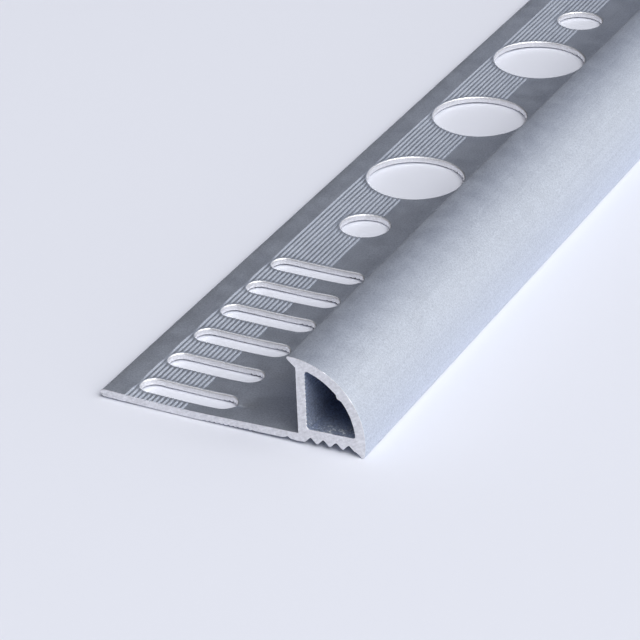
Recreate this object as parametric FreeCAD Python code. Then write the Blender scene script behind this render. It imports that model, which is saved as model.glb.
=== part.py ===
import FreeCAD, Part
import math
import os

# All sizes are in millimetres and all angles in degrees.
# The trim is one aluminium extrusion: a hollow quarter round with a punched fixing leg.
# X runs across the trim from the leg's tip to the quarter round, Y along the stock, Z up.
# The stock lies on a level surface on its outer leg and on the foot of its quarter round.
# The origin is on that surface, below the middle of the stock's width and length.

# Stock length
stock_length = 1000.0

# Quarter round
trim_height = 10.0
outer_radius = 8.9
shell_thickness = 1.1
wall_thickness = 1.1
base_thickness = 1.6

# Lip over the tile edge
lip_reach = 1.0
lip_nose_radius = 0.2
lip_under_angle = 42.0

# Foot at the front of the base
foot_drop = 0.585
foot_nose_radius = 0.25
foot_flank_angle = 50.0
foot_step = 0.25

# Adhesive key under the base
key_groove_count = 4
key_groove_pitch = 1.5
key_groove_depth = 0.58
key_groove_apex_radius = 0.2
key_tooth_flat = 0.2
key_first_groove = 1.45
key_land_bulge = 0.08

# Chamber inside the quarter round
chamber_chamfer = 0.2
chamber_corner_radius = 0.2
chamber_heel_radius = 0.3
chamber_tooth_count = 16
chamber_tooth_depth = 0.12
chamber_rib_angle = 40.4
chamber_rib_height = 0.2
chamber_rib_width = 0.9
chamber_rib_flat = 0.12

# Fixing leg
leg_length = 24.2
leg_thickness = 0.9
bend_from_wall = 12.0
bend_radius = 40.0

# V notch under the leg beside the wall
notch_from_wall = 1.32
notch_width = 0.8
notch_depth = 0.25

# Serrations under the leg
serration_count = 11
serration_pitch = 0.582
serration_width = 0.34
serration_depth = 0.14
serration_from_wall = 5.55

# Grooves on top of the leg
leg_groove_count = 13
leg_groove_pitch = 0.576
leg_groove_width = 0.34
leg_groove_depth = 0.16
leg_groove_from_wall = 14.1

# Punching: oblong slots, a small hole, large holes and a small hole, over and over
punch_line_from_wall = 15.0
punch_end_margin = 1.5
slot_length = 11.6
slot_width = 3.0
slot_count = 6
slot_pitch = 6.4
slot_first = 3.3
small_hole_diameter = 6.0
slot_to_small_hole = 13.2
large_hole_diameter = 12.0
small_to_large_hole = 14.6
large_hole_count = 3
large_hole_pitch = 20.0

# How far a cutting tool stands clear of the face that it cuts
tool_clearance = 1.0


def polar(centre, radius, degrees):
    """The point at a radius and an angle about a centre in the section's plane."""
    angle = math.radians(degrees)
    return (
        centre[0] + radius * math.cos(angle),
        centre[1] + radius * math.sin(angle),
    )


def angle_of(centre, point):
    """The angle in degrees at which a point is seen from a centre."""
    return math.degrees(math.atan2(point[1] - centre[1], point[0] - centre[0]))


def arc_centre():
    """The centre of the quarter round's outer and inner arcs, from the wall's foot."""
    return (-lip_reach, trim_height - outer_radius)


def foot_centre():
    """The centre of the foot's rounded nose, which touches the outer arc from inside."""
    centre = arc_centre()
    height = foot_nose_radius - foot_drop
    reach = outer_radius - foot_nose_radius
    run = math.sqrt(reach**2 - (height - centre[1]) ** 2)
    return (centre[0] + run, height)


def lip_centre():
    """The centre of the lip's rounded nose, which touches the outer arc from inside."""
    centre = arc_centre()
    place = lip_nose_radius - lip_reach
    reach = outer_radius - lip_nose_radius
    rise = math.sqrt(reach**2 - (place - centre[0]) ** 2)
    return (place, centre[1] + rise)


def lean_angle():
    """The leg's bend in degrees, at which the flat outer leg and the foot share one plane."""
    foot = foot_centre()
    across = foot[0] + bend_from_wall
    up = bend_radius - foot[1]
    far = math.hypot(across, up)
    whole = math.acos((bend_radius - foot_nose_radius) / far)
    return math.degrees(whole - math.atan2(across, up))


def bend_run():
    """The length of leg that the bend takes up, measured on the underside."""
    return bend_radius * math.radians(lean_angle())


def leaned(point):
    """A point given from the wall's foot, square to the wall, placed as the stock lies."""
    lean = math.radians(lean_angle())
    corner_x = bend_radius * math.sin(lean) + bend_from_wall * math.cos(lean)
    corner_z = bend_radius * (1.0 - math.cos(lean)) + bend_from_wall * math.sin(lean)
    return (
        corner_x + point[0] * math.cos(lean) - point[1] * math.sin(lean),
        corner_z + point[0] * math.sin(lean) + point[1] * math.cos(lean),
    )


def outer_leg_x(from_wall):
    """The place on the flat outer leg at a distance from the wall, measured along the leg."""
    return bend_from_wall + bend_run() - from_wall


def vector(point):
    """A section point as a vector in the plane of the stock's near end."""
    return FreeCAD.Vector(point[0], 0.0, point[1])


class Outline:
    """A closed outline in the section's plane, made of lines and three-point arcs."""

    def __init__(self, start):
        self.start = start
        self.last = start
        self.edges = []

    def line_to(self, point):
        """Adds a straight edge, unless the outline is at that point already."""
        if math.dist(self.last, point) > 1e-7:
            edge = Part.LineSegment(vector(self.last), vector(point)).toShape()
            self.edges.append(edge)
            self.last = point

    def arc_to(self, middle, point):
        """Adds an arc through a middle point."""
        arc = Part.Arc(vector(self.last), vector(middle), vector(point))
        self.edges.append(arc.toShape())
        self.last = point

    def face(self):
        """Closes the outline and fills it."""
        self.line_to(self.start)
        return Part.Face(Part.Wire(self.edges))


def v_notches(outline, places, width, depth, level, step, place_point):
    """Cuts one V into a straight run at each place; step is the direction of travel."""
    for place in places:
        outline.line_to(place_point((place - step * width / 2, level)))
        outline.line_to(place_point((place, level + depth)))
        outline.line_to(place_point((place + step * width / 2, level)))


def tangent_angle(point, centre, radius, side):
    """The angle on a circle at which a line from an outside point touches it."""
    seen = angle_of(centre, point)
    turn = math.degrees(math.acos(radius / math.dist(centre, point)))
    return seen + side * turn


def add_leg_underside(outline):
    """The flat outer leg, the bend, the serrations and the V notch, towards the wall."""
    lean = math.radians(lean_angle())
    half = lean / 2
    outline.line_to((0.0, 0.0))
    outline.arc_to(
        (bend_radius * math.sin(half), bend_radius * (1.0 - math.cos(half))),
        leaned((-bend_from_wall, 0.0)),
    )
    last = serration_from_wall + (serration_count - 1) * serration_pitch
    places = [-last + i * serration_pitch for i in range(serration_count)]
    v_notches(outline, places, serration_width, serration_depth, 0.0, 1.0, leaned)
    v_notches(outline, [-notch_from_wall], notch_width, notch_depth, 0.0, 1.0, leaned)


def add_key(outline):
    """The land under the wall and the rounded V grooves of the adhesive key."""
    half_groove = (key_groove_pitch - key_tooth_flat) / 2
    land_start = -notch_from_wall + notch_width / 2 + key_tooth_flat
    land_end = key_first_groove - half_groove
    outline.line_to(leaned((land_start, 0.0)))
    middle = ((land_start + land_end) / 2, -key_land_bulge)
    outline.arc_to(leaned(middle), leaned((land_end, 0.0)))
    for i in range(key_groove_count):
        place = key_first_groove + i * key_groove_pitch
        centre = (place, key_groove_depth - key_groove_apex_radius)
        near = (place - half_groove, 0.0)
        far = (place + half_groove, 0.0)
        start = tangent_angle(near, centre, key_groove_apex_radius, -1.0)
        end = tangent_angle(far, centre, key_groove_apex_radius, 1.0)
        outline.line_to(leaned(near))
        outline.line_to(leaned(polar(centre, key_groove_apex_radius, start)))
        outline.arc_to(
            leaned(polar(centre, key_groove_apex_radius, 90.0)),
            leaned(polar(centre, key_groove_apex_radius, end)),
        )
        outline.line_to(leaned(far))


def add_foot(outline):
    """The heel, the flank and the rounded nose of the foot, up to the outer arc."""
    half_groove = (key_groove_pitch - key_tooth_flat) / 2
    last_groove = key_first_groove + (key_groove_count - 1) * key_groove_pitch
    tooth_end = last_groove + half_groove + key_tooth_flat / 2
    centre = foot_centre()
    start = 270.0 - foot_flank_angle
    touch = polar(centre, foot_nose_radius, start)
    flank_run = (-foot_step - touch[1]) / math.tan(math.radians(foot_flank_angle))
    flank_top = (touch[0] - flank_run, -foot_step)
    outline.line_to(leaned((tooth_end, 0.0)))
    outline.line_to(leaned(flank_top))
    outline.line_to(leaned(touch))
    end = angle_of(arc_centre(), centre)
    middle = (start + end + 360.0) / 2
    outline.arc_to(
        leaned(polar(centre, foot_nose_radius, middle)),
        leaned(polar(centre, foot_nose_radius, end)),
    )


def add_round_and_lip(outline):
    """The outer arc, the lip's nose and its sloping underside, down to the wall."""
    centre = arc_centre()
    nose = lip_centre()
    start = angle_of(centre, foot_centre())
    end = angle_of(centre, nose)
    outline.arc_to(
        leaned(polar(centre, outer_radius, (start + end) / 2)),
        leaned(polar(centre, outer_radius, end)),
    )
    touch_angle = 270.0 - lip_under_angle
    touch = polar(nose, lip_nose_radius, touch_angle)
    outline.arc_to(
        leaned(polar(nose, lip_nose_radius, (end + touch_angle) / 2)),
        leaned(touch),
    )
    slope = math.tan(math.radians(lip_under_angle))
    outline.line_to(leaned((0.0, touch[1] + touch[0] * slope)))


def add_wall_and_leg_top(outline):
    """The wall's outer face, the leg's top with its grooves and the rounded tip."""
    lean = math.radians(lean_angle())
    half = lean / 2
    top_radius = bend_radius - leg_thickness
    outline.line_to(leaned((0.0, leg_thickness)))
    outline.line_to(leaned((-bend_from_wall, leg_thickness)))
    outline.arc_to(
        (top_radius * math.sin(half), bend_radius - top_radius * math.cos(half)),
        (0.0, leg_thickness),
    )
    first = outer_leg_x(leg_groove_from_wall)
    places = [first - i * leg_groove_pitch for i in range(leg_groove_count)]
    v_notches(
        outline,
        places,
        leg_groove_width,
        -leg_groove_depth,
        leg_thickness,
        -1.0,
        lambda point: point,
    )
    tip = outer_leg_x(leg_length)
    nose = (tip + leg_thickness / 2, leg_thickness / 2)
    outline.line_to((nose[0], leg_thickness))
    outline.arc_to((tip, nose[1]), (nose[0], 0.0))


def section_face():
    """The outline of the whole section, before the chamber is taken out."""
    tip = outer_leg_x(leg_length)
    outline = Outline((tip + leg_thickness / 2, 0.0))
    add_leg_underside(outline)
    add_key(outline)
    add_foot(outline)
    add_round_and_lip(outline)
    add_wall_and_leg_top(outline)
    return outline.face()


def chamber_face():
    """The chamber's outline: base, inner arc with its rib, top corner and toothed wall."""
    centre = arc_centre()
    inner = outer_radius - shell_thickness
    heel_reach = inner - chamber_heel_radius
    heel_z = base_thickness + chamber_heel_radius
    heel_x = centre[0] + math.sqrt(heel_reach**2 - (heel_z - centre[1]) ** 2)
    heel = (heel_x, heel_z)
    heel_angle = angle_of(centre, heel)
    corner_reach = inner - chamber_corner_radius
    corner_x = wall_thickness + chamber_corner_radius
    corner_z = centre[1] + math.sqrt(corner_reach**2 - (corner_x - centre[0]) ** 2)
    corner = (corner_x, corner_z)
    corner_angle = angle_of(centre, corner)
    rib_half = math.degrees(chamber_rib_width / 2 / inner)
    flat_half = math.degrees(chamber_rib_flat / 2 / inner)
    rib_start = chamber_rib_angle - rib_half
    rib_end = chamber_rib_angle + rib_half
    outline = Outline(leaned((wall_thickness + chamber_chamfer, base_thickness)))
    outline.line_to(leaned((heel[0], base_thickness)))
    outline.arc_to(
        leaned(polar(heel, chamber_heel_radius, (heel_angle - 90.0) / 2)),
        leaned(polar(heel, chamber_heel_radius, heel_angle)),
    )
    outline.arc_to(
        leaned(polar(centre, inner, (heel_angle + rib_start) / 2)),
        leaned(polar(centre, inner, rib_start)),
    )
    rib_reach = inner - chamber_rib_height
    outline.line_to(leaned(polar(centre, rib_reach, chamber_rib_angle - flat_half)))
    outline.line_to(leaned(polar(centre, rib_reach, chamber_rib_angle + flat_half)))
    outline.line_to(leaned(polar(centre, inner, rib_end)))
    outline.arc_to(
        leaned(polar(centre, inner, (rib_end + corner_angle) / 2)),
        leaned(polar(centre, inner, corner_angle)),
    )
    outline.arc_to(
        leaned(polar(corner, chamber_corner_radius, (corner_angle + 180.0) / 2)),
        leaned((wall_thickness, corner[1])),
    )
    side_start = base_thickness + chamber_chamfer
    tooth_pitch = (corner_z - side_start) / chamber_tooth_count
    for i in reversed(range(chamber_tooth_count)):
        tooth_start = side_start + i * tooth_pitch
        groove = (wall_thickness - chamber_tooth_depth, tooth_start + tooth_pitch / 2)
        outline.line_to(leaned(groove))
        outline.line_to(leaned((wall_thickness, tooth_start)))
    return outline.face()


def punch_pattern():
    """The distances from the near end of each slot, small hole and large hole."""
    small_a = (slot_count - 1) * slot_pitch + slot_to_small_hole
    large_a = small_a + small_to_large_hole
    small_b = large_a + (large_hole_count - 1) * large_hole_pitch + small_to_large_hole
    repeat = small_b + slot_to_small_hole
    slots = []
    small_holes = []
    large_holes = []
    start = slot_first
    while start < stock_length:
        slots += [start + i * slot_pitch for i in range(slot_count)]
        small_holes += [start + small_a, start + small_b]
        large_holes += [start + large_a + i * large_hole_pitch for i in range(large_hole_count)]
        start += repeat
    return (
        clear_of_ends(slots, slot_width),
        clear_of_ends(small_holes, small_hole_diameter),
        clear_of_ends(large_holes, large_hole_diameter),
    )


def clear_of_ends(places, width):
    """The places at which an opening of this width stays clear of both cut ends."""
    near = width / 2 + punch_end_margin
    far = stock_length - near
    return [place for place in places if near <= place <= far]


def leg_top_height():
    """The height of the leg's top beside the wall, which is as high as the leg gets."""
    return leaned((0.0, leg_thickness))[1]


def slot_tool(place):
    """A round-ended tool across the leg, centred on the punch line."""
    centre_x = outer_leg_x(punch_line_from_wall)
    half = (slot_length - slot_width) / 2
    radius = slot_width / 2
    low = -tool_clearance
    left = centre_x - half
    right = centre_x + half
    near = place - radius
    far = place + radius
    edges = [
        Part.LineSegment(
            FreeCAD.Vector(left, near, low), FreeCAD.Vector(right, near, low)
        ).toShape(),
        Part.Arc(
            FreeCAD.Vector(right, near, low),
            FreeCAD.Vector(right + radius, place, low),
            FreeCAD.Vector(right, far, low),
        ).toShape(),
        Part.LineSegment(
            FreeCAD.Vector(right, far, low), FreeCAD.Vector(left, far, low)
        ).toShape(),
        Part.Arc(
            FreeCAD.Vector(left, far, low),
            FreeCAD.Vector(left - radius, place, low),
            FreeCAD.Vector(left, near, low),
        ).toShape(),
    ]
    face = Part.Face(Part.Wire(edges))
    rise = leg_top_height() + 2 * tool_clearance
    return face.extrude(FreeCAD.Vector(0.0, 0.0, rise))


def hole_tool(place, diameter):
    """A round tool on the punch line."""
    foot = FreeCAD.Vector(outer_leg_x(punch_line_from_wall), place, -tool_clearance)
    up = FreeCAD.Vector(0.0, 0.0, 1.0)
    return Part.makeCylinder(diameter / 2, leg_top_height() + 2 * tool_clearance, foot, up)


def trim_profile():
    """The whole stock: the section drawn out to its length, hollowed and punched."""
    along = FreeCAD.Vector(0.0, stock_length, 0.0)
    face = section_face().cut(chamber_face())
    body = face.extrude(along).Solids[0]
    slots, small_holes, large_holes = punch_pattern()
    tools = [slot_tool(place) for place in slots]
    tools += [hole_tool(place, small_hole_diameter) for place in small_holes]
    tools += [hole_tool(place, large_hole_diameter) for place in large_holes]
    body = body.cut(tools).Solids[0]
    box = face.optimalBoundingBox(False, False)
    middle = (box.XMin + box.XMax) / 2
    body.translate(FreeCAD.Vector(-middle, -stock_length / 2, 0.0))
    return body


os.makedirs("parts", exist_ok=True)
profile = trim_profile()
profile.exportStep("parts/trim_profile.step")
print("lean", round(lean_angle(), 3), "box", profile.BoundBox, "volume", round(profile.Volume, 1))
print("valid", profile.isValid(), "solids", len(profile.Solids), "faces", len(profile.Faces))
slots, small_holes, large_holes = punch_pattern()
print("slots", len(slots), "small holes", len(small_holes), "large holes", len(large_holes))
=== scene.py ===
import math
import bpy
import numpy as np
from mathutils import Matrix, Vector
from mathutils.geometry import tessellate_polygon


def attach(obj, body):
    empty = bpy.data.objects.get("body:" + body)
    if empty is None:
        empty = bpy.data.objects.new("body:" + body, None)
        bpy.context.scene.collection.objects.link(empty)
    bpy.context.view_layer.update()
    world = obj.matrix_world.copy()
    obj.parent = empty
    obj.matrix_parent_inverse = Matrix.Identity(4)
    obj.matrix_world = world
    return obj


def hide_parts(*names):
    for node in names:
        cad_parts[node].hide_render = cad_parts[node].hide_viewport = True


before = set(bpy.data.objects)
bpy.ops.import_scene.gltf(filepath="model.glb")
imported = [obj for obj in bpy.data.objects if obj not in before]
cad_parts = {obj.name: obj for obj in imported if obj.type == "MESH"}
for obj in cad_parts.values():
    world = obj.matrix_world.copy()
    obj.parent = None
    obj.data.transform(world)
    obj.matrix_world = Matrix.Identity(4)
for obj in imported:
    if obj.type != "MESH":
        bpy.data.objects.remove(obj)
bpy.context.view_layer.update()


# The extruded section. The trim is one aluminium extrusion: a hollow quarter round with a
# lip over the tile, a keyed base with a foot, and a thin leg that is bent a little, so that
# the stock lies on the leg's outer part and on the foot. Sizes here are in millimetres.
stock_length = 1000.0
trim_height = 10.0
outer_radius = 8.9
shell_thickness = 1.1
inner_radius = outer_radius - shell_thickness
wall_thickness = 1.1
base_thickness = 1.6
lip_reach = 1.0
lip_nose = 0.2
lip_slope = math.radians(42.0)
foot_drop = 0.585
foot_nose = 0.25
foot_flank = math.radians(50.0)
foot_step = 0.25
key_count = 4
key_pitch = 1.5
key_depth = 0.58
key_apex = 0.2
key_flat = 0.2
key_first = 1.45
land_reach = 0.72
land_bulge = 0.08
notch_place = 1.32
notch_half_width = 0.4
notch_depth = 0.25
chamfer = 0.2
corner_radius = 0.2
heel_radius = 0.3
tooth_count = 16
tooth_depth = 0.12
rib_angle = 40.4
rib_height = 0.2
rib_half_foot = 0.45
rib_half_top = 0.06
leg_length = 24.2
leg_thickness = 0.9
bend_from_wall = 12.0
bend_radius = 40.0
arc_centre = np.array([-lip_reach, trim_height - outer_radius])


def circle_at_height(height, radius, big_radius):
    """Centre, at a height, of a small circle that touches a big one about the arc's centre
    from inside: the two centres are the big radius less the small one apart."""
    run = math.sqrt((big_radius - radius) ** 2 - (height - arc_centre[1]) ** 2)
    return np.array([arc_centre[0] + run, height])


def circle_at_place(place, radius, big_radius):
    """The same, at a place across the section and above the arc's centre."""
    rise = math.sqrt((big_radius - radius) ** 2 - (place - arc_centre[0]) ** 2)
    return np.array([place, arc_centre[1] + rise])


foot_centre = circle_at_height(foot_nose - foot_drop, foot_nose, outer_radius)
lip_centre = circle_at_place(lip_nose - lip_reach, lip_nose, outer_radius)
foot_across = foot_centre[0] + bend_from_wall
foot_up = bend_radius - foot_centre[1]
lean = math.acos((bend_radius - foot_nose) / math.hypot(foot_across, foot_up))
lean -= math.atan2(foot_across, foot_up)
wall_foot = np.array([
    bend_radius * math.sin(lean) + bend_from_wall * math.cos(lean),
    bend_radius * (1.0 - math.cos(lean)) + bend_from_wall * math.sin(lean),
])


def leaned(points):
    """Points given from the wall's foot, turned by the lean about it and moved to where
    the wall's foot is: x cos - z sin, x sin + z cos, plus the foot's place."""
    points = np.atleast_2d(np.asarray(points, float))
    turn = np.array([[math.cos(lean), math.sin(lean)], [-math.sin(lean), math.cos(lean)]])
    return points @ turn + wall_foot


def arc_points(centre, radius, start, end, count):
    """Points on a circle, evenly spaced in angle: centre plus radius times cos and sin."""
    angle = np.radians(np.linspace(start, end, count))
    return np.column_stack([
        centre[0] + radius * np.cos(angle),
        centre[1] + radius * np.sin(angle),
    ])


def seen_angle(centre, point):
    """The direction from a centre to a point, in degrees."""
    return math.degrees(math.atan2(point[1] - centre[1], point[0] - centre[0]))


wall_along_leg = bend_from_wall + bend_radius * lean
leg_tip = wall_along_leg - leg_length
section_right = leaned([arc_centre])[0, 0] + outer_radius
section_middle = (leg_tip + section_right) / 2


def key_points():
    """The base from the foot's heel to the land: rounded V grooves at an even pitch. Each
    flank is the tangent from a tooth's edge to the apex circle."""
    half = (key_pitch - key_flat) / 2
    rows = []
    for i in range(key_count):
        place = key_first + i * key_pitch
        centre = (place, key_depth - key_apex)
        turned_off = math.degrees(math.acos(key_apex / math.hypot(half, centre[1])))
        far = seen_angle(centre, (place + half, 0.0)) + turned_off
        near = seen_angle(centre, (place - half, 0.0)) - turned_off
        apex = arc_points(centre, key_apex, near % 360.0, far % 360.0, 6)
        rows.append(np.vstack([[place - half, 0.0], apex, [place + half, 0.0]]))
    return np.vstack(rows)


def round_points():
    """The section from the wall's foot up the wall, round the lip, down the arc, round the
    foot and back under the base to the notch, clockwise. The land beside the keys bulges
    as a parabola, four times the bulge times share times the rest of the share."""
    lip_end = seen_angle(arc_centre, lip_centre)
    foot_start = seen_angle(arc_centre, foot_centre)
    flank_start = -90.0 - math.degrees(foot_flank)
    under = 270.0 - math.degrees(lip_slope)
    touch = lip_centre + lip_nose * np.array([-math.sin(lip_slope), -math.cos(lip_slope)])
    root = [0.0, touch[1] + touch[0] * math.tan(lip_slope)]
    flank = foot_centre + foot_nose * np.array([-math.sin(foot_flank), -math.cos(foot_flank)])
    heel = [flank[0] - (-foot_step - flank[1]) / math.tan(foot_flank), -foot_step]
    key = key_points()
    last_edge = [key[-1, 0] + key_flat / 2, 0.0]
    land_width = key[0, 0] + land_reach
    share = np.linspace(0.0, 1.0, 7)
    land = np.column_stack([
        key[0, 0] - land_width * share,
        -land_bulge * 4.0 * share * (1.0 - share),
    ])
    notch = np.column_stack([
        -notch_place + notch_half_width * np.array([1.0, 0.0, -1.0]),
        [0.0, notch_depth, 0.0],
    ])
    return np.vstack([
        [[0.0, leg_thickness], [0.0, 3.0], [0.0, 6.0], root],
        arc_points(lip_centre, lip_nose, under, lip_end, 9),
        arc_points(arc_centre, outer_radius, lip_end, foot_start, 90)[1:],
        arc_points(foot_centre, foot_nose, foot_start, flank_start, 12)[1:-1],
        [flank, heel, last_edge],
        key[::-1][:-1],
        land,
        notch,
    ])


def chamber_points():
    """The chamber from the base's left end round to the wall, anticlockwise: base, heel
    radius, inner arc broken by a low rib, top corner and a wall with fine teeth."""
    heel = circle_at_height(base_thickness + heel_radius, heel_radius, inner_radius)
    corner = circle_at_place(wall_thickness + corner_radius, corner_radius, inner_radius)
    heel_angle = seen_angle(arc_centre, heel)
    corner_angle = seen_angle(arc_centre, corner)
    foot_half = math.degrees(rib_half_foot / inner_radius)
    top_half = math.degrees(rib_half_top / inner_radius)
    rib_radius = inner_radius - rib_height
    side_start = base_thickness + chamfer
    tooth = (corner[1] - side_start) / tooth_count
    start = side_start + tooth * np.arange(tooth_count)[::-1]
    teeth = np.stack([
        np.column_stack([np.full(tooth_count, wall_thickness - tooth_depth), start + tooth / 2]),
        np.column_stack([np.full(tooth_count, wall_thickness), start]),
    ], axis=1).reshape(-1, 2)
    return np.vstack([
        [[wall_thickness + chamfer, base_thickness], [4.0, base_thickness]],
        arc_points(heel, heel_radius, -90.0, heel_angle, 6),
        arc_points(arc_centre, inner_radius, heel_angle, rib_angle - foot_half, 24)[1:],
        arc_points(arc_centre, rib_radius, rib_angle - top_half, rib_angle + top_half, 2),
        arc_points(arc_centre, inner_radius, rib_angle + foot_half, corner_angle, 24),
        arc_points(corner, corner_radius, corner_angle, 180.0, 6)[1:],
        teeth,
    ])


# The leg's two faces. The top has thirteen fine V grooves beside a plain edge band, and the
# underside has eleven serrations nearer the wall, both rolled along the stock by the die.
groove_count = 13
groove_pitch = 0.576
groove_from_wall = 14.1
groove_width = 0.34
groove_depth = 0.16
serration_count = 11
serration_pitch = 0.582
serration_from_wall = 5.55
serration_width = 0.34
serration_depth = 0.14
groove_x = wall_along_leg - groove_from_wall - groove_pitch * np.arange(groove_count)[::-1]
serration_x = -serration_from_wall - serration_pitch * np.arange(serration_count)[::-1]


def v_line(places, width, rise, level):
    """A straight run with one V at each place. Each V is three points: at the level, the
    rise above it, and at the level again. A negative rise cuts down."""
    x = (places[:, None] + np.array([-width / 2, 0.0, width / 2])).ravel()
    z = (level + np.array([0.0, rise, 0.0]) * np.ones((len(places), 1))).ravel()
    return np.column_stack([x, z])


def bend_line(radius):
    """The bend's arc about a centre above the leg, from flat to the lean: radius times
    sine across, and the bend's radius less radius times cosine up."""
    angle = np.linspace(0.0, lean, 5)
    return np.column_stack([radius * np.sin(angle), bend_radius - radius * np.cos(angle)])


top_line = np.vstack([
    [leg_tip + leg_thickness / 2, leg_thickness],
    v_line(groove_x, groove_width, -groove_depth, leg_thickness),
    bend_line(bend_radius - leg_thickness),
    leaned([[0.0, leg_thickness]]),
])
plain_line = top_line[[0, -6, -5, -4, -3, -2, -1]]  # the top without its grooves
under_line = np.vstack([
    [leg_tip + leg_thickness / 2, 0.0],
    bend_line(bend_radius),
    leaned(v_line(serration_x, serration_width, serration_depth, 0.0)),
    leaned([[-notch_place - notch_half_width, 0.0]]),
])


# The punching. Oblong slots, a small screw hole, three large holes and a small hole are
# punched through the leg in one line, over and over. The punch rounds each rim and dishes
# the metal around it a little.
punch_from_wall = 15.0
slot_half_line = 4.3
slot_radius = 1.5
slot_count = 6
slot_pitch = 6.4
first_slot = 3.3
slot_to_small = 13.2
small_radius = 3.0
small_to_large = 14.6
large_radius = 6.0
large_count = 3
large_pitch = 20.0
rim = 0.2
clear_of_end = 1.5
punch_x = wall_along_leg - punch_from_wall
slot_places = first_slot + slot_pitch * np.arange(slot_count)
small_gap = small_to_large + large_pitch * (large_count - 1) + small_to_large
small_places = slot_places[-1] + slot_to_small + np.array([0.0, small_gap])
large_places = small_places[0] + small_to_large + large_pitch * np.arange(large_count)
repeat = small_places[1] + slot_to_small - slot_places[0]
cycles = repeat * np.arange(int(stock_length / repeat) + 1)


def spread(places, half_length, radius):
    """Every opening of one kind along the stock as rows of place, half length and radius,
    without those that come near a sawn end."""
    along = (cycles[:, None] + places).ravel()
    margin = radius + clear_of_end
    along = along[(along > margin) & (along < stock_length - margin)]
    return np.column_stack([
        along,
        np.full(len(along), half_length),
        np.full(len(along), radius),
    ])


openings = np.vstack([
    spread(slot_places, slot_half_line, slot_radius),
    spread(small_places, 0.0, small_radius),
    spread(large_places, 0.0, large_radius),
])
openings = openings[np.argsort(openings[:, 0])]
opening_count = len(openings)


def rim_steps(half_line, radius, angles):
    """Places across the leg at which a rim has its points: the straight half length plus
    the rim's radius times the cosine of each angle."""
    return half_line + (radius + rim) * np.cos(np.radians(angles))


least_gap = 0.05
hair = 1e-6


def band_columns():
    """Columns that both faces share. The corners of grooves, bend and serrations and the
    ends of every opening are kept exactly; steps round the openings fill in between."""
    slots = rim_steps(slot_half_line, slot_radius, [14.0, 26.0, 38.0, 50.0, 63.0, 76.0, 90.0])
    small = rim_steps(0.0, small_radius, [11.0, 22.0, 33.0, 45.0, 57.0, 70.0])
    large = rim_steps(0.0, large_radius, [7.0, 14.0, 21.0, 29.0, 37.0, 46.0, 55.0, 66.0])
    steps = np.concatenate([slots, small, large, -slots[:3]]) + punch_x
    reach = np.array([slot_half_line + slot_radius, small_radius, large_radius]) + rim
    low, high = punch_x - reach.max(), punch_x + reach.max()
    exact = np.concatenate([top_line[:, 0], under_line[:, 0], punch_x - reach, punch_x + reach])
    exact = np.unique(np.round(exact[(exact > low - hair) & (exact < high + hair)], 6))
    gap = np.abs(steps[:, None] - exact[None, :]).min(axis=1)
    steps = np.sort(steps[(gap > least_gap) & (steps > low) & (steps < high)])
    steps = steps[np.concatenate([[True], np.diff(steps) > least_gap])]
    return np.sort(np.concatenate([exact, steps]))


# Beside the shared columns the top has some in its plain edge band, where the dents lie and
# short of the wall. The underside has one near the tip and one at each corner beyond them.
edge_band_steps = np.array([0.0, 0.9, 1.8])
dent_steps = np.array([0.5, 1.1, 1.8, 2.6, 3.6])
last_top_column = 1.5
first_under_column = 0.5
shared_x = band_columns()
top_x = np.concatenate([
    top_line[0, 0] + edge_band_steps,
    shared_x,
    shared_x[-1] + dent_steps,
    [top_line[-1, 0] - last_top_column],
])
under_x = np.concatenate([
    [under_line[0, 0] + first_under_column],
    shared_x,
    under_line[under_line[:, 0] > shared_x[-1] + least_gap, 0][:-1],
])


def half_height(x, which):
    """How far each opening's rim reaches along the stock at a place across the leg: the
    height of a circle beyond the straight half length, and nothing outside it."""
    radius = openings[which, 2][:, None] + rim
    over = np.maximum(np.abs(x - punch_x)[None, :] - openings[which, 1][:, None], 0.0)
    inside = over < radius - 2 * hair
    return np.where(inside, np.sqrt(np.maximum(radius**2 - over**2, 0.0)), 0.0)


# A narrow slope runs round each sawn end, and the openings nearest the camera are finer.
edge_slope = 0.04
fine_openings = 11
most_share = 0.45


def land_shares(length, offsets):
    """Where a land's rows lie, as shares of its length: at the given distances from each
    rim, and at its middle where it is fine. On a short land the rows close up evenly."""
    count = len(offsets)
    near = np.array([min(offsets[i] / length, most_share * (i + 1) / count) for i in range(count)])
    middle = [0.5] if count else []
    return np.concatenate([[0.0], near, middle, 1.0 - near[::-1], [1.0]])


def leg_rows(x, at_end, fine, coarse):
    """Rows of a leg face. Between one opening and the next the rows run from the first
    rim to the second in the land's shares; returns places, land starts and rim heights."""
    height = half_height(x, np.arange(opening_count))
    last = stock_length - edge_slope
    low = np.vstack([np.full((1, len(x)), edge_slope), openings[:, :1] + height])
    high = np.vstack([openings[:, :1] - height, np.full((1, len(x)), last)])
    rows, starts, count = [], [], 0
    for land in range(opening_count + 1):
        offsets = fine if land <= fine_openings else coarse
        offsets = at_end if land in (0, opening_count) else offsets
        share = land_shares((high[land] - low[land]).min(), offsets)[:, None]
        starts.append(count)
        count += len(share)
        rows.append(low[land] + share * (high[land] - low[land]))
    return np.vstack(rows), np.array(starts), height


def rim_distance(x, y):
    """Distance from each point to the nearest rim: distance to the opening's straight
    middle line less its radius, for the openings before and after the point."""
    after = np.clip(np.searchsorted(openings[:, 0], y), 0, opening_count - 1)
    best = np.full(x.shape, 1e9)
    for which in (np.maximum(after - 1, 0), after):
        over = np.maximum(np.abs(x - punch_x) - openings[which, 1], 0.0)
        far = np.hypot(over, y - openings[which, 0]) - openings[which, 2] - rim
        best = np.minimum(best, far)
    return np.maximum(best, 0.0)


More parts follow.
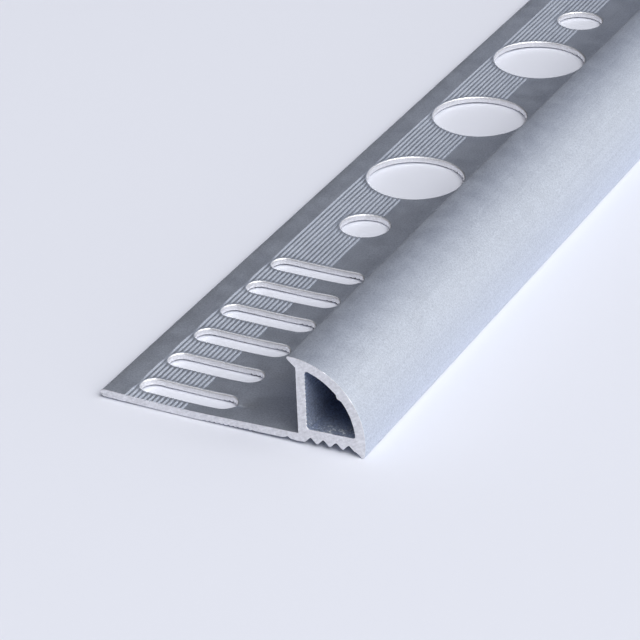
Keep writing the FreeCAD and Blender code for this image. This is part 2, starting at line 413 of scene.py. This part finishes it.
# The trim's points and faces are gathered in lists and made into one mesh further down.
# Each face has a finish, and a crease angle in degrees for its edges.
vertices = []
face_corners = []
face_sizes = []
face_finishes = []
face_creases = []
SATIN, SAWN, PUNCHED, CHAMBER = range(4)
leg_crease = 20.0
section_crease = 30.0
tip_crease = 40.0
opening_crease = 60.0
end_crease = 1.0


def add_vertices(x, y, z):
    """Stores points and returns their numbers in the same layout."""
    x, y, z = np.broadcast_arrays(x, y, z)
    stored = sum(len(block) for block in vertices)
    vertices.append(np.column_stack([x.ravel(), y.ravel(), z.ravel()]))
    return stored + np.arange(x.size).reshape(x.shape)


def add_faces(corners, finish, crease):
    """Stores faces given as rows of corners, with their finish and the angle in degrees
    past which an edge between two of them stays sharp."""
    corners = np.atleast_2d(corners)
    face_corners.append(corners.ravel())
    face_sizes.append(np.full(len(corners), corners.shape[1]))
    face_finishes.append(np.full(len(corners), finish))
    face_creases.append(np.full(len(corners), crease))


def add_quads(a, b, c, d, finish, crease):
    """Stores quads given as four arrays of corners. A quad whose neighbouring corners are
    one point is stored as a triangle, and one with no area is left out."""
    quads = np.stack([a.ravel(), b.ravel(), c.ravel(), d.ravel()], axis=1)
    same = quads == np.roll(quads, -1, axis=1)
    doubled = same.sum(axis=1)
    add_faces(quads[doubled == 0], finish, crease)
    once = doubled == 1
    add_faces(quads[once][~same[once]].reshape(-1, 3), finish, crease)


slot_dent_places = ((6.6, 0.15), (-6.3, 0.04))
slot_dent_shift = 0.3
slot_dent_reach = 1.0


def slot_dents(x, y):
    """The metal is dragged down a little beyond a slot's two ends: a round hollow there, a
    bell curve of the distance from a point just past the end, deeper towards the wall."""
    after = np.clip(np.searchsorted(openings[:, 0], y), 0, opening_count - 1)
    depth = np.zeros(x.shape)
    for which in (np.maximum(after - 1, 0), after):
        oblong = openings[which, 1] > 0.0
        along = y - openings[which, 0] - slot_dent_shift
        for end, deep in slot_dent_places:
            far = np.hypot(x - punch_x - end, along)
            depth += oblong * deep * np.exp(-((far / slot_dent_reach) ** 2))
    return depth


dish_depth = 0.06
dish_bells = ((0.6, 0.8), (0.4, 2.2))
pressed_share = 0.8
pressed_reach = 0.45


def leg_face(x, line, rows, up):
    """One face of the leg as a grid of columns across and rows along. Its height follows
    the section's line. On top, bell curves of the distance to the nearest rim press the
    grooves flat and dish the metal, one close to the rim and one wide. Rows on both sides
    of an opening meet in one row of points beyond the opening's ends."""
    y, starts, height = leg_rows(x, *rows)
    across = np.broadcast_to(x, y.shape)
    level = np.interp(x, line[:, 0], line[:, 1])[None, :]
    if up:
        far = rim_distance(across, y)
        plain = np.interp(x, plain_line[:, 0], plain_line[:, 1])[None, :]
        pressed = pressed_share * np.exp(-((far / pressed_reach) ** 2))
        dished = sum(part * np.exp(-((far / reach) ** 2)) for part, reach in dish_bells)
        level = level + pressed * (plain - level) - dish_depth * dished - slot_dents(across, y)
    numbers = add_vertices(across, y, level)
    for i in range(opening_count):
        shut = height[i] == 0.0
        numbers[starts[i + 1], shut] = numbers[starts[i + 1] - 1, shut]
    inner = np.ones(len(y) - 1, bool)
    inner[starts[1:] - 1] = False
    lower, upper = numbers[:-1][inner], numbers[1:][inner]
    corners = [lower[:, :-1], lower[:, 1:], upper[:, 1:], upper[:, :-1]]
    if not up:
        corners = corners[::-1]
    add_quads(*corners, SATIN, leg_crease)
    return numbers, starts, height


# A face's rows beside a sawn end, beside the openings nearest the camera and beside the
# others, as distances from the rim.
top_rows = [0.15, 0.4, 0.8], [0.15, 0.4, 0.8], [0.6]
under_rows = [0.12, 0.3], [], []
top, top_starts, top_height = leg_face(top_x, top_line, top_rows, True)
under, under_starts, _ = leg_face(under_x, under_line, under_rows, False)
top_first = int(np.searchsorted(top_x, shared_x[0] - hair))
under_first = int(np.searchsorted(under_x, shared_x[0] - hair))
rim_turns = [0.35, 0.7, 1.0]
lower_burr = 0.08


def opening_wall(i):
    """The wall of one opening as rings of points: the top rim, steps of a quarter circle
    down from it, the cut wall and the lower rim. Each ring is the rim's points moved to
    another distance from the opening's straight middle line."""
    columns = np.flatnonzero(top_height[i][top_first:top_first + len(shared_x)] > 0.0)
    columns = np.arange(columns[0] - 1, columns[-1] + 2)
    before, after = top_starts[i + 1] - 1, top_starts[i + 1]
    low, high = under_starts[i + 1] - 1, under_starts[i + 1]
    there, back = top_first + columns, top_first + columns[-2:0:-1]
    upper_rim = np.concatenate([top[after, there], top[before, back]])
    there, back = under_first + columns, under_first + columns[-2:0:-1]
    lower_rim = np.concatenate([under[high, there], under[low, back]])
    everything = np.vstack(vertices)
    place, half, radius = openings[i]
    rim_points = everything[upper_rim]
    under_points = everything[lower_rim]
    middle_x = np.clip(rim_points[:, 0], punch_x - half, punch_x + half)
    middle = np.column_stack([middle_x, np.full(len(rim_points), place)])
    out = rim_points[:, :2] - middle
    out /= np.linalg.norm(out, axis=1)[:, None]
    rings = [upper_rim]
    for turn in rim_turns if i < fine_openings else rim_turns[-1:]:
        away = radius + rim * (1.0 - math.sin(turn * math.pi / 2))
        drop = rim * (1.0 - math.cos(turn * math.pi / 2))
        flat = middle + out * away
        rings.append(add_vertices(flat[:, 0], flat[:, 1], rim_points[:, 2] - drop))
    flat = middle + out * radius
    rings.append(add_vertices(flat[:, 0], flat[:, 1], under_points[:, 2] + lower_burr))
    rings.append(lower_rim)
    for above, below in zip(rings[:-1], rings[1:]):
        finish = SATIN if above is rings[0] else PUNCHED
        around = np.roll(above, -1), np.roll(below, -1)
        add_quads(above, *around, below, finish, opening_crease)


for i in range(opening_count):
    opening_wall(i)

# The leg's rounded tip joins the two faces. The quarter round, the base and the chamber
# are the section's outline as the die pressed it out, carried along the stock.
nose_turn = np.radians(np.linspace(90.0, 270.0, 9))[1:]
nose_radius = leg_thickness / 2
unique_rows = np.setdiff1d(np.arange(len(top)), top_starts[1:])
top_edge = top[unique_rows, 0]
edge_y = np.vstack(vertices)[top_edge, 1]
nose_x = top_x[0] + nose_radius * np.cos(nose_turn)
nose_z = nose_radius + nose_radius * np.sin(nose_turn)
nose = add_vertices(nose_x[None, :], edge_y[:, None], nose_z[None, :])
nose = np.column_stack([top_edge, nose])
add_quads(nose[:-1, :-1], nose[1:, :-1], nose[1:, 1:], nose[:-1, 1:], SATIN, tip_crease)

joints = np.searchsorted(edge_y, openings[:, 0] - hair)
joints = np.concatenate([[0], joints, [len(edge_y) - 1]])
for land in range(opening_count + 1):
    strip = nose[joints[land]:joints[land + 1] + 1, -1].tolist()
    last = under_starts[land + 1] if land < opening_count else len(under)
    strip += under[under_starts[land]:last, 0][::-1].tolist()
    add_faces(strip, SATIN, tip_crease)

station_every = 4
station_lands = np.arange(station_every, opening_count, station_every)
station_y = np.concatenate([
    [edge_slope],
    openings[station_lands - 1, 0],
    [stock_length - edge_slope],
])
station_joint = np.concatenate([[0], joints[station_lands], [len(edge_y) - 1]])
round_line = leaned(round_points())
chamber_line = leaned(chamber_points())


def carried(line, finish, closed):
    """A line of section points carried along the stock: one row of points at each
    station, with quads between neighbouring points and stations."""
    numbers = add_vertices(line[None, :, 0], station_y[:, None], line[None, :, 1])
    near, far = numbers[:-1], numbers[1:]
    if closed:
        around = np.roll(near, -1, 1), np.roll(far, -1, 1)
        add_quads(near, *around, far, finish, section_crease)
    else:
        onward = near[:, 1:], far[:, 1:]
        add_quads(near[:, :-1], *onward, far[:, :-1], finish, section_crease)
    return numbers


outer = carried(round_line, SATIN, False)
chamber = carried(chamber_line, CHAMBER, True)
top_last = top[unique_rows, -1]
under_last = under[np.setdiff1d(np.arange(len(under)), under_starts[1:]), -1]
under_y = np.vstack(vertices)[under_last, 1]
under_joint = np.searchsorted(under_y, openings[station_lands - 1, 0] - hair)
under_joint = np.concatenate([[0], under_joint, [len(under_last) - 1]])
for s in range(len(station_y) - 1):
    dense = top_last[station_joint[s]:station_joint[s + 1] + 1]
    strip = np.concatenate([[outer[s, 0], outer[s + 1, 0]], dense[::-1]])
    add_faces(strip, SATIN, section_crease)
    sparse = under_last[under_joint[s]:under_joint[s + 1] + 1]
    strip = np.concatenate([sparse, [outer[s + 1, -1], outer[s, -1]]])
    add_faces(strip, SATIN, section_crease)


# The sawn ends. A fine saw leaves a square flat face with a narrow ragged edge, which is
# the outline drawn in by a few hundredths of a millimetre. Each pair of widths is the
# least and the most that the edge has there, before the least edge of all is kept.
neighbours = 4
contrast = 2.2
plain_edge = (-0.02, 0.05)
edge_by_teeth = (0.02, 0.085)
edge_on_round = (-0.035, 0.068)
edge_under_leg = (0.06, 0.09)
edge_on_leg = 0.0006
least_edge = 0.003
teeth_end = 1.6
round_start = (3.0, 2.5)
leg_end = -2.0
leg_underside = 0.3


def ragged(count, seed, low, high):
    """Smooth random widths: random numbers averaged over nine neighbours, then spread out
    again, so that the edge's width swells and runs out over short lengths."""
    noise = np.random.default_rng(seed).random(count)
    noise = np.mean([np.roll(noise, k) for k in range(-neighbours, neighbours + 1)], axis=0)
    return low + (high - low) * np.clip(0.5 + contrast * (noise - 0.5), 0.0, 1.0)


def edge_widths(flat, seed, offset):
    """How far each point of a loop is drawn in; offset is 0 for the outline and 1 for the
    chamber. The edge is widest beside the chamber's teeth, on the round and under the
    leg, and next to nothing on the rest of the leg."""
    count = len(flat)
    across, up = flat[:, 0] - wall_foot[0], flat[:, 1]
    widths = ragged(count, seed + offset, *plain_edge)
    by_teeth = (across < teeth_end) & (offset == 1)
    widths = np.where(by_teeth, ragged(count, seed + 7, *edge_by_teeth), widths)
    on_round = (across > round_start[0]) & (up > round_start[1]) & (offset == 0)
    widths = np.where(on_round, ragged(count, seed + 9, *edge_on_round), widths)
    widths = np.maximum(widths, least_edge)
    on_leg = (across < leg_end) & (offset == 0)
    widths = np.where(on_leg, edge_on_leg, widths)
    under_leg = on_leg & (up < leg_underside)
    return np.where(under_leg, ragged(count, seed + 5, *edge_under_leg), widths)


def drawn_in(points, width):
    """A closed outline moved into the metal: each point goes along the mean of its two
    sides' normals."""
    side = np.roll(points, -1, 0) - points
    side /= np.maximum(np.linalg.norm(side, axis=1), 1e-9)[:, None]
    normal = np.column_stack([side[:, 1], -side[:, 0]])
    normal = normal + np.roll(normal, 1, 0)
    normal /= np.maximum(np.linalg.norm(normal, axis=1), 1e-9)[:, None]
    return points + normal * width[:, None]


def sawn_end(row, place, seed):
    """One end: a narrow slope round the outline and round the chamber, and the flat face
    between the two drawn-in loops."""
    near = row == 0
    loop = np.concatenate([outer[row], under[row, ::-1], nose[row, :0:-1], top[row]])
    everything = np.vstack(vertices)
    inner_loops = []
    for ring, offset in ((loop, 0), (chamber[row], 1)):
        flat = everything[ring][:, [0, 2]]
        moved = drawn_in(flat, edge_widths(flat, seed, offset))
        new = add_vertices(moved[:, 0], np.full(len(ring), place), moved[:, 1])
        first, second = (new, ring) if near else (ring, new)
        around = np.roll(first, -1), np.roll(second, -1)
        add_quads(first, *around, second, SAWN, section_crease)
        inner_loops.append((new, moved))
    numbers = np.concatenate([new for new, _ in inner_loops])
    flat = np.vstack([moved for _, moved in inner_loops])
    cuts = np.array(tessellate_polygon([moved.tolist() for _, moved in inner_loops]))
    one, two = flat[cuts[:, 1]] - flat[cuts[:, 0]], flat[cuts[:, 2]] - flat[cuts[:, 0]]
    turn = one[:, 0] * two[:, 1] - one[:, 1] * two[:, 0]
    wrong = (turn > 0) != near
    cuts[wrong] = cuts[wrong][:, ::-1]
    add_faces(numbers[cuts], SAWN, end_crease)


sawn_end(0, 0.0, 11)
sawn_end(-1, stock_length, 31)

# The whole trim as one closed mesh in metres, moved to the frame of the stock as it lies.
# The leg bows up a little towards its tip, as a hyperbola of the distance from the bend.
bow_slope = 0.0145
bow_start = 2.0
points = np.vstack(vertices)
corners = np.concatenate(face_corners)
sizes = np.concatenate(face_sizes)
finish = np.concatenate(face_finishes)
crease = np.concatenate(face_creases)
used, corners = np.unique(corners, return_inverse=True)
points = points[used]
from_bend = np.minimum(points[:, 0], 0.0)
points[:, 2] += bow_slope * (np.sqrt(from_bend**2 + bow_start**2) - bow_start)
points -= np.array([section_middle, stock_length / 2, 0.0])
mesh = bpy.data.meshes.new("trim")
mesh.vertices.add(len(points))
mesh.vertices.foreach_set("co", (points / 1000.0).ravel())
mesh.loops.add(len(corners))
mesh.loops.foreach_set("vertex_index", corners.astype(np.int32))
mesh.polygons.add(len(sizes))
starts = np.concatenate([[0], np.cumsum(sizes)[:-1]])
mesh.polygons.foreach_set("loop_start", starts.astype(np.int32))
mesh.polygons.foreach_set("loop_total", sizes.astype(np.int32))
mesh.polygons.foreach_set("material_index", finish.astype(np.int32))
mesh.polygons.foreach_set("use_smooth", np.ones(len(sizes), bool))
mesh.update(calc_edges=True)


def mark_creases(mesh):
    """Marks an edge sharp where its two faces meet at more than the larger of their
    crease angles, and wherever a sawn face meets another finish."""
    edge_of = np.empty(len(mesh.loops), np.int32)
    mesh.loops.foreach_get("edge_index", edge_of)
    normal = np.empty(len(sizes) * 3, np.float32)
    mesh.polygons.foreach_get("normal", normal)
    normal = normal.reshape(-1, 3)
    face_of = np.repeat(np.arange(len(sizes)), sizes)
    pair = face_of[np.argsort(edge_of, kind="stable")].reshape(-1, 2)
    cosine = (normal[pair[:, 0]] * normal[pair[:, 1]]).sum(axis=1)
    sharp = cosine < np.cos(np.radians(crease[pair].max(axis=1)))
    cut = finish[pair] == SAWN
    mesh.edges.foreach_set("use_edge_sharp", sharp | (cut[:, 0] != cut[:, 1]))


mark_creases(mesh)
trim = bpy.data.objects.new("trim", mesh)
bpy.context.scene.collection.objects.link(trim)


# The finish. Etched and anodised aluminium is matt, with a fine grain and faint die lines
# along the stock. The sawn ends and the punched walls are cut metal with tool marks.
def metal_grain_group():
    """A node group for a metal skin: grain from fine noise, tool or die marks from noise
    drawn out along one direction, and slow cloudy patches."""
    group = bpy.data.node_groups.new("metal_grain", "ShaderNodeTree")
    for name in ("Grain scale", "Mark scale", "Mark share"):
        group.interface.new_socket(name, in_out="INPUT", socket_type="NodeSocketFloat")
    for name in ("Mark turn", "Mark stretch"):
        group.interface.new_socket(name, in_out="INPUT", socket_type="NodeSocketVector")
    for name in ("Height", "Cloud"):
        group.interface.new_socket(name, in_out="OUTPUT", socket_type="NodeSocketFloat")
    nodes, links = group.nodes, group.links
    enter, leave = nodes.new("NodeGroupInput"), nodes.new("NodeGroupOutput")
    place = nodes.new("ShaderNodeTexCoord")
    grain = nodes.new("ShaderNodeTexNoise")
    grain.inputs["Detail"].default_value = 3.0
    grain.inputs["Roughness"].default_value = 0.65
    turned = nodes.new("ShaderNodeMapping")
    stretched = nodes.new("ShaderNodeMapping")
    mark = nodes.new("ShaderNodeTexNoise")
    mark.inputs["Detail"].default_value = 3.0
    cloud = nodes.new("ShaderNodeTexNoise")
    cloud.inputs["Scale"].default_value = 420.0
    cloud.inputs["Detail"].default_value = 3.0
    blend = nodes.new("ShaderNodeMix")
    blend.data_type = "FLOAT"
    links.new(place.outputs["Object"], grain.inputs["Vector"])
    links.new(place.outputs["Object"], cloud.inputs["Vector"])
    links.new(place.outputs["Object"], turned.inputs["Vector"])
    links.new(enter.outputs["Mark turn"], turned.inputs["Rotation"])
    links.new(turned.outputs["Vector"], stretched.inputs["Vector"])
    links.new(enter.outputs["Mark stretch"], stretched.inputs["Scale"])
    links.new(stretched.outputs["Vector"], mark.inputs["Vector"])
    links.new(enter.outputs["Grain scale"], grain.inputs["Scale"])
    links.new(enter.outputs["Mark scale"], mark.inputs["Scale"])
    links.new(enter.outputs["Mark share"], blend.inputs["Factor"])
    links.new(grain.outputs["Fac"], blend.inputs["A"])
    links.new(mark.outputs["Fac"], blend.inputs["B"])
    links.new(blend.outputs["Result"], leave.inputs["Height"])
    links.new(cloud.outputs["Fac"], leave.inputs["Cloud"])
    return group


metal_grain = metal_grain_group()


def map_range(nodes, from_min, from_max, to_min=0.0, to_max=1.0, smooth=False):
    """A node that maps one range of values to another, in a straight or a smooth way."""
    node = nodes.new("ShaderNodeMapRange")
    if smooth:
        node.interpolation_type = "SMOOTHSTEP"
    limits = (
        ("From Min", from_min), ("From Max", from_max),
        ("To Min", to_min), ("To Max", to_max),
    )
    for name, value in limits:
        node.inputs[name].default_value = value
    return node


noise_band = (0.35, 0.65)
roughness_swing = 0.03


def metal(name, dark, light, metallic, roughness, grain_scale, mark_scale, mark_share, bump,
          turn=(0.0, 0.0, 0.0), stretch=(1.0, 0.02, 1.0)):
    """A metal whose colour and roughness vary with the grain and the cloudy patches, and
    whose surface has the grain and the marks as a fine bump."""
    material = bpy.data.materials.new(name)
    material.use_nodes = True
    nodes, links = material.node_tree.nodes, material.node_tree.links
    shader = nodes["Principled BSDF"]
    shader.inputs["Metallic"].default_value = metallic
    grain = nodes.new("ShaderNodeGroup")
    grain.node_tree = metal_grain
    grain.inputs["Grain scale"].default_value = grain_scale
    grain.inputs["Mark scale"].default_value = mark_scale
    grain.inputs["Mark share"].default_value = mark_share
    grain.inputs["Mark turn"].default_value = turn
    grain.inputs["Mark stretch"].default_value = stretch
    mottle = map_range(nodes, *noise_band)
    colour = nodes.new("ShaderNodeMix")
    colour.data_type = "RGBA"
    colour.inputs["A"].default_value = (*dark, 1.0)
    colour.inputs["B"].default_value = (*light, 1.0)
    ends = roughness - roughness_swing, roughness + roughness_swing
    patch = map_range(nodes, *noise_band, *ends)
    raised = nodes.new("ShaderNodeBump")
    raised.inputs["Strength"].default_value = 1.0
    raised.inputs["Distance"].default_value = bump
    links.new(grain.outputs["Height"], mottle.inputs["Value"])
    links.new(mottle.outputs["Result"], colour.inputs["Factor"])
    links.new(colour.outputs["Result"], shader.inputs["Base Color"])
    links.new(grain.outputs["Cloud"], patch.inputs["Value"])
    links.new(patch.outputs["Result"], shader.inputs["Roughness"])
    links.new(grain.outputs["Height"], raised.inputs["Height"])
    links.new(raised.outputs["Normal"], shader.inputs["Normal"])
    return material


satin = metal(
    "satin_anodised", dark=(0.513, 0.554, 0.630), light=(0.702, 0.746, 0.822),
    metallic=0.90, roughness=0.52, bump=38e-6,
    grain_scale=5600.0, mark_scale=2600.0, mark_share=0.15)
sawn = metal(
    "sawn_metal", dark=(0.70, 0.70, 0.72), light=(0.95, 0.95, 0.975),
    metallic=0.95, roughness=0.48, bump=14e-6,
    grain_scale=2200.0, mark_scale=4200.0, mark_share=0.4,
    turn=(0.0, math.radians(32.0), 0.0), stretch=(0.14, 1.0, 1.0))
punched = metal(
    "punched_metal", dark=(0.84, 0.84, 0.86), light=(0.96, 0.96, 0.98),
    metallic=0.92, roughness=0.50, bump=7e-6,
    grain_scale=5000.0, mark_scale=4200.0, mark_share=0.4,
    stretch=(1.0, 1.0, 0.08))
mill = metal(
    "mill_finish", dark=(0.315, 0.365, 0.49), light=(0.62, 0.71, 0.89),
    metallic=0.74, roughness=0.42, bump=26e-6,
    grain_scale=5200.0, mark_scale=2400.0, mark_share=0.1)


# Where the painted glints in the chamber fade in and out, in metres from the middle of the
# stock and above the table, and the noise levels between which they appear.
end_y = stock_length / 2000.0
painted_glint_reach = (end_y - 0.0032, end_y - 0.0002)
painted_glint_height = (0.0042, 0.0024)
painted_glint_level = (0.56, 0.64)
painted_glint_metal = 0.35


def paint_mouth_glints(material):
    """Painted glints inside the chamber's mouths: small near-white flecks that stand in for
    highlights where light reaches in. A fine noise is cut off at a level and shown only within
    about three millimetres of either end and in the lower part of the chamber."""
    nodes, links = material.node_tree.nodes, material.node_tree.links
    shader = nodes["Principled BSDF"]
    skin = shader.inputs["Base Color"].links[0].from_socket
    place = nodes.new("ShaderNodeTexCoord")
    parts = nodes.new("ShaderNodeSeparateXYZ")
    along = nodes.new("ShaderNodeMath")
    along.operation = "ABSOLUTE"
    near = map_range(nodes, *painted_glint_reach, smooth=True)
    low = map_range(nodes, *painted_glint_height, smooth=True)
    glint_noise = nodes.new("ShaderNodeTexNoise")
    glint_noise.inputs["Scale"].default_value = 3600.0
    glint_noise.inputs["Detail"].default_value = 2.0
    picked = map_range(nodes, *painted_glint_level)
    shown = nodes.new("ShaderNodeMath")
    shown.operation = "MULTIPLY"
    share = nodes.new("ShaderNodeMath")
    share.operation = "MULTIPLY"
    blend = nodes.new("ShaderNodeMix")
    blend.data_type = "RGBA"
    # The near-white colour of the painted glints, a painted highlight.
    blend.inputs["B"].default_value = (0.92, 0.96, 1.0, 1.0)
    plain_metal = shader.inputs["Metallic"].default_value
    metalness = map_range(nodes, 0.0, 1.0, plain_metal, painted_glint_metal)
    links.new(place.outputs["Object"], parts.inputs["Vector"])
    links.new(place.outputs["Object"], glint_noise.inputs["Vector"])
    links.new(parts.outputs["Y"], along.inputs[0])
    links.new(along.outputs["Value"], near.inputs["Value"])
    links.new(parts.outputs["Z"], low.inputs["Value"])
    links.new(glint_noise.outputs["Fac"], picked.inputs["Value"])
    links.new(near.outputs["Result"], shown.inputs[0])
    links.new(picked.outputs["Result"], shown.inputs[1])
    links.new(shown.outputs["Value"], share.inputs[0])
    links.new(low.outputs["Result"], share.inputs[1])
    links.new(skin, blend.inputs["A"])
    links.new(share.outputs["Value"], blend.inputs["Factor"])
    links.new(share.outputs["Value"], metalness.inputs["Value"])
    links.new(blend.outputs["Result"], shader.inputs["Base Color"])
    links.new(metalness.outputs["Result"], shader.inputs["Metallic"])


# Painted glints near both ends of the chamber, on the chamber's metal.
paint_mouth_glints(mill)
for material in (satin, sawn, punched, mill):
    mesh.materials.append(material)
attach(trim, "root")
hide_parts("trim_profile")


# The studio: a plain pale table, a pale room that is darker behind and to the left, and
# soft lamps to the right, in front and, weakly, to the left. The camera stands where the
# photograph was taken from.
def flat_sheet(name, half, height):
    """A level square at a height: four corners at plus and minus half."""
    corner = np.array([[-1, -1, 0], [1, -1, 0], [1, 1, 0], [-1, 1, 0]], float) * half
    corner[:, 2] = height
    sheet = bpy.data.meshes.new(name)
    sheet.from_pydata(corner.tolist(), [], [(0, 1, 2, 3)])
    thing = bpy.data.objects.new(name, sheet)
    bpy.context.scene.collection.objects.link(thing)
    return thing


table = flat_sheet("table", 12.0, -0.0001)
table_paint = bpy.data.materials.new("table_paint")
table_paint.use_nodes = True
paint = table_paint.node_tree.nodes["Principled BSDF"]
paint.inputs["Base Color"].default_value = (0.75, 0.77, 0.84, 1.0)
paint.inputs["Roughness"].default_value = 0.7
paint.inputs["Specular IOR Level"].default_value = 0.2
table.data.materials.append(table_paint)

# The room's light grows from dark to pale towards its brightest side. The band is of the
# dot product between a direction and that side's.
brightest = (0.93, 0.30, -0.12)
room_band = (-0.25, 0.85)
room = bpy.data.worlds.new("room")
bpy.context.scene.world = room
room.use_nodes = True
air, joins = room.node_tree.nodes, room.node_tree.links
direction = air.new("ShaderNodeTexCoord")
aim = air.new("ShaderNodeVectorMath")
aim.operation = "DOT_PRODUCT"
aim.inputs[1].default_value = brightest
lift = map_range(air, *room_band, smooth=True)
walls = air.new("ShaderNodeValToRGB")
walls.color_ramp.elements[0].color = (0.016, 0.012, 0.009, 1.0)
walls.color_ramp.elements[1].color = (0.768, 0.772, 0.782, 1.0)
walls.color_ramp.elements.new(0.18).color = (0.155, 0.183, 0.275, 1.0)
joins.new(direction.outputs["Generated"], aim.inputs[0])
joins.new(aim.outputs["Value"], lift.inputs["Value"])
joins.new(lift.outputs["Result"], walls.inputs["Fac"])
joins.new(walls.outputs["Color"], air["Background"].inputs["Color"])


middle_of_view = Vector((0.0, -0.3, 0.0))


def soft_lamp(name, place, size, power, colour):
    """A square area lamp at a place, turned towards the middle of the view."""
    lamp = bpy.data.lights.new(name, "AREA")
    lamp.shape = "SQUARE"
    lamp.size = size
    lamp.energy = power
    lamp.color = colour
    thing = bpy.data.objects.new(name, lamp)
    thing.location = place
    aim_at = middle_of_view - Vector(place)
    thing.rotation_euler = aim_at.to_track_quat("-Z", "Y").to_euler()
    bpy.context.scene.collection.objects.link(thing)


soft_lamp("side_lamp", (3.2, -1.0, 2.3), size=4.5, power=108.0, colour=(1.0, 0.985, 0.955))
soft_lamp("front_lamp", (1.7, -2.0, 2.8), size=2.2, power=77.0, colour=(1.0, 1.0, 1.0))
soft_lamp("left_lamp", (-1.9, -1.5, 2.8), size=2.2, power=20.0, colour=(0.97, 0.965, 1.03))

view = bpy.data.cameras.new("camera")
view.sensor_width = 36.0
view.lens = 181.801
view.clip_start = 0.02
view.clip_end = 60.0
camera = bpy.data.objects.new("camera", view)
camera.location = (0.142394, -0.76593, 0.174466)
camera.rotation_euler = tuple(math.radians(a) for a in (61.82059, 0.70798, 25.93085))
bpy.context.scene.collection.objects.link(camera)
bpy.context.scene.camera = camera
bpy.context.scene.view_settings.view_transform = "Standard"
